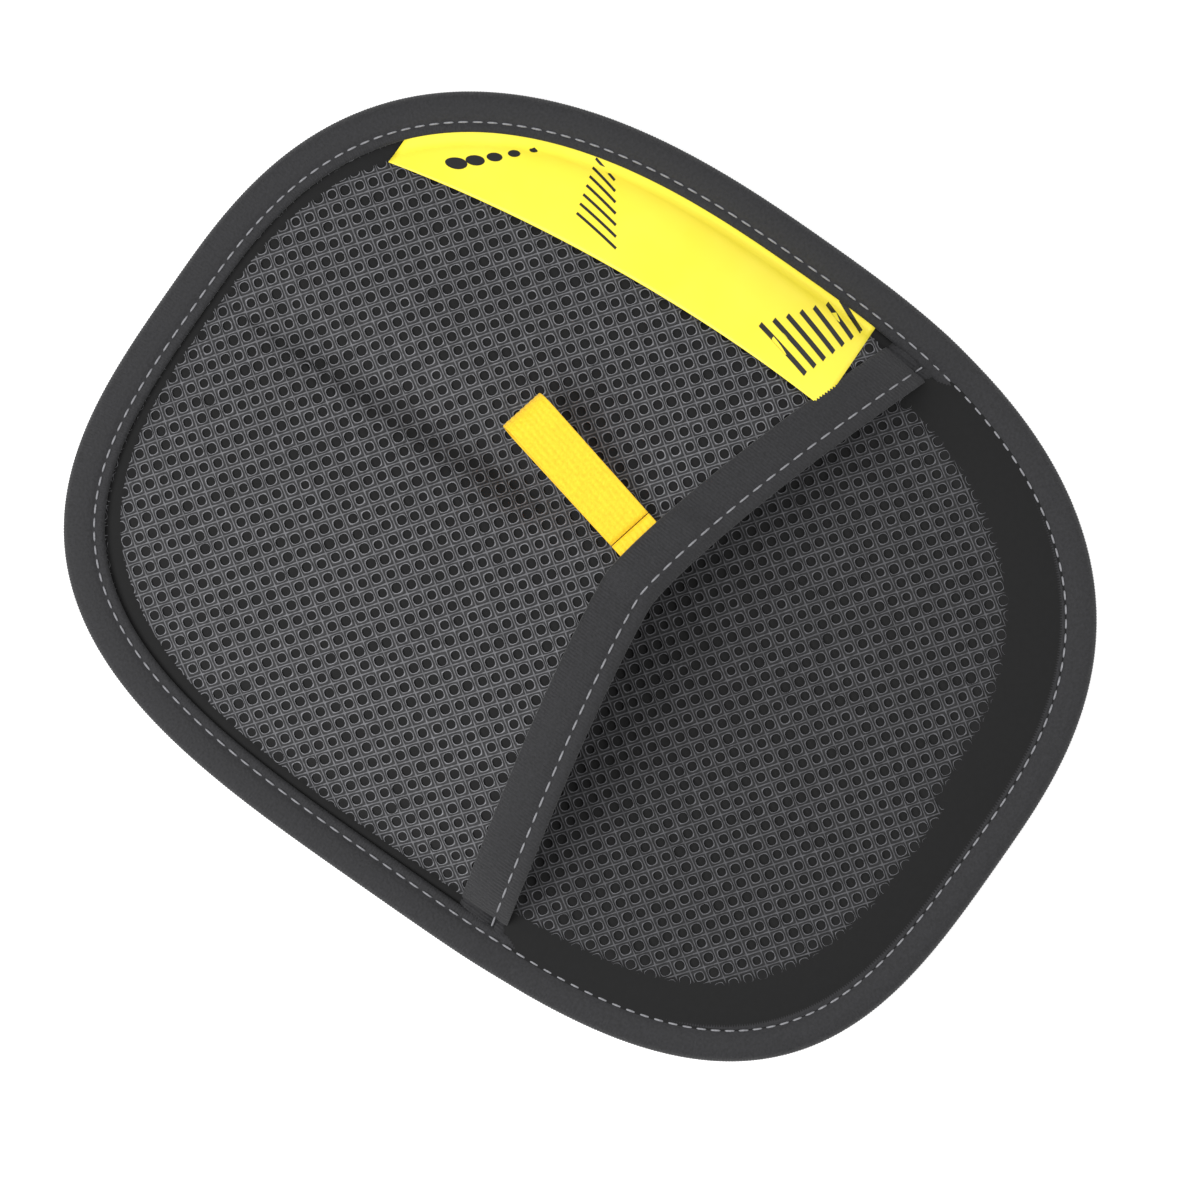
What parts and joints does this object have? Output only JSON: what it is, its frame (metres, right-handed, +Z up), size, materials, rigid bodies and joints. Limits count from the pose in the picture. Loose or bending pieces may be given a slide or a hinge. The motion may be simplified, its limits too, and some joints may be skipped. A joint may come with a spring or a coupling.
{
  "type": "grooming glove",
  "caption": "Oval soft grooming mitt: rubber-tipped working face, foam core, bulged mesh hand pocket, bound rim and mouth, smooth yellow side band and webbing hang loop.",
  "frame": {"origin": "bottom centre: under the middle of the mitt, at the level of the rubber tips' ends", "axes": "+X across the mitt towards the yellow band, +Y along it towards the fingertips, +Z up out of the hand pocket's side"},
  "size_m": [0.197, 0.25, 0.0428],
  "materials": {
    "pad_rubber": "matte",
    "foam": "matte",
    "base_knit": "matte",
    "lining_cloth": "matte",
    "mesh_knit": "matte",
    "band_film": "satin",
    "binding_tape": "matte",
    "webbing": "matte"
  },
  "bodies": {
    "mitt": {"grooming_pad": "pad_rubber", "foam_pad": "foam", "base_mesh": "base_knit", "pocket_lining": "lining_cloth", "pocket_mesh": "mesh_knit", "label_band": "band_film", "edge_binding": "binding_tape", "mouth_binding": "binding_tape", "loop_tails": "webbing"},
    "loop": {"hang_loop": "webbing"}
  },
  "joints": [
    {"name": "loop_flip", "type": "hinge", "parent": "mitt", "child": "loop", "pos_m": [0.01453, -0.00313, 0.03866], "axis": [0.9728, -0.2246, -0.0576], "range_deg": [0, 110]}
  ]
}
